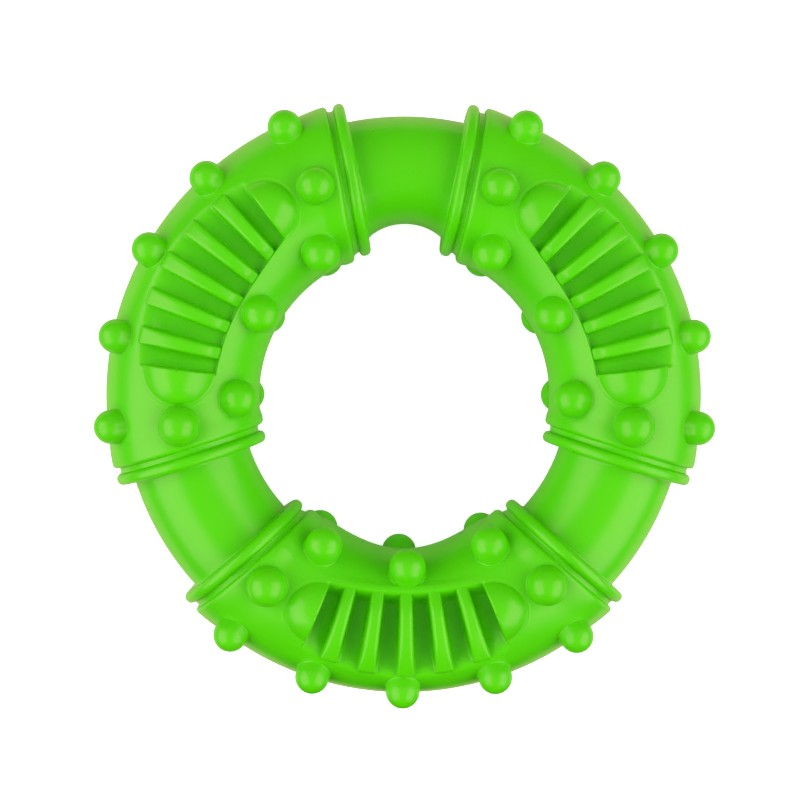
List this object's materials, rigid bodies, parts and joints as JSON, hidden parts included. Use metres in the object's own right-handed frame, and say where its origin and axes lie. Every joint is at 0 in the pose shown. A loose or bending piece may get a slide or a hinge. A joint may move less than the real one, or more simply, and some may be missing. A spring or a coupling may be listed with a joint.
{
  "type": "rubber chew ring",
  "caption": "Ring-shaped solid rubber chew toy for dogs, with fat nubbed lobes, ribbed windows front and back, and slimmer necks between raised collars.",
  "frame": {"origin": "centre of the ring, in its middle plane", "axes": "+Z along the ring's axis, out of the side that the picture shows; +Y towards the neck with the waist, which is at the picture's top; +X to the picture's right. The toy lies on the crest nubs of its -Z side."},
  "size_m": [0.123, 0.1209, 0.04],
  "materials": {
    "rubber": "smooth moulded rubber with a soft satin sheen"
  },
  "bodies": {
    "root": {"neck_top": "rubber", "neck_lower_left": "rubber", "neck_lower_right": "rubber", "collar_top_left": "rubber", "collar_top_right": "rubber", "collar_left_upper": "rubber", "collar_left_lower": "rubber", "collar_right_upper": "rubber", "collar_right_lower": "rubber", "lobe_upper_left": "rubber", "lobe_upper_right": "rubber", "lobe_bottom": "rubber", "front_ribs_upper_left": "rubber", "front_ribs_upper_right": "rubber", "front_ribs_bottom": "rubber", "back_ribs_upper_left": "rubber", "back_ribs_upper_right": "rubber", "back_ribs_bottom": "rubber", "front_domes_upper_left": "rubber", "front_domes_upper_right": "rubber", "front_domes_bottom": "rubber", "back_domes_upper_left": "rubber", "back_domes_upper_right": "rubber", "back_domes_bottom": "rubber", "outer_nubs_upper_left": "rubber", "outer_nubs_upper_right": "rubber", "outer_nubs_bottom": "rubber", "inner_nubs_upper_left": "rubber", "inner_nubs_upper_right": "rubber", "inner_nubs_bottom": "rubber", "crest_nubs_upper_left": "rubber", "crest_nubs_upper_right": "rubber", "crest_nubs_bottom": "rubber"}
  },
  "joints": []
}
